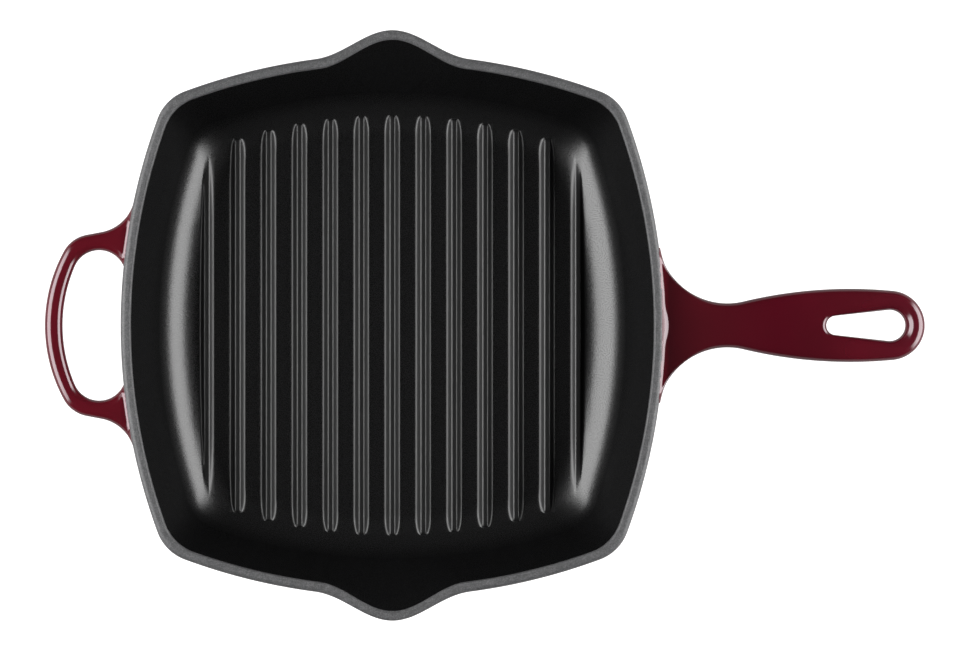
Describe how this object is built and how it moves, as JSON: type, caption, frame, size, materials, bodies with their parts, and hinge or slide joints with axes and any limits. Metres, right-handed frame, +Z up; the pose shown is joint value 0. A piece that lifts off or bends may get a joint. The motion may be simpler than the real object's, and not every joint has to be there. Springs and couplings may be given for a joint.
{
  "type": "grill pan",
  "caption": "Square ribbed enamelled grill pan with bowed flaring walls, pouring spouts, a long handle with a hanging eye and an opposite helper loop.",
  "frame": {"origin": "middle of the base face that stands on the hob", "axes": "+X towards the long handle, +Y towards one spout, +Z up"},
  "size_m": [0.4302, 0.2888, 0.0521],
  "materials": {
    "iron": "as cast, under enamel",
    "grey_ground_coat": "matt",
    "satin_black_enamel": "satin",
    "burgundy_enamel": "gloss"
  },
  "bodies": {
    "root": {"iron_casting": "iron", "rim_enamel": "grey_ground_coat", "interior_enamel": "satin_black_enamel", "wall_enamel": "burgundy_enamel", "base_enamel": "burgundy_enamel", "long_handle_enamel": "burgundy_enamel", "helper_handle_enamel": "burgundy_enamel"}
  },
  "joints": []
}
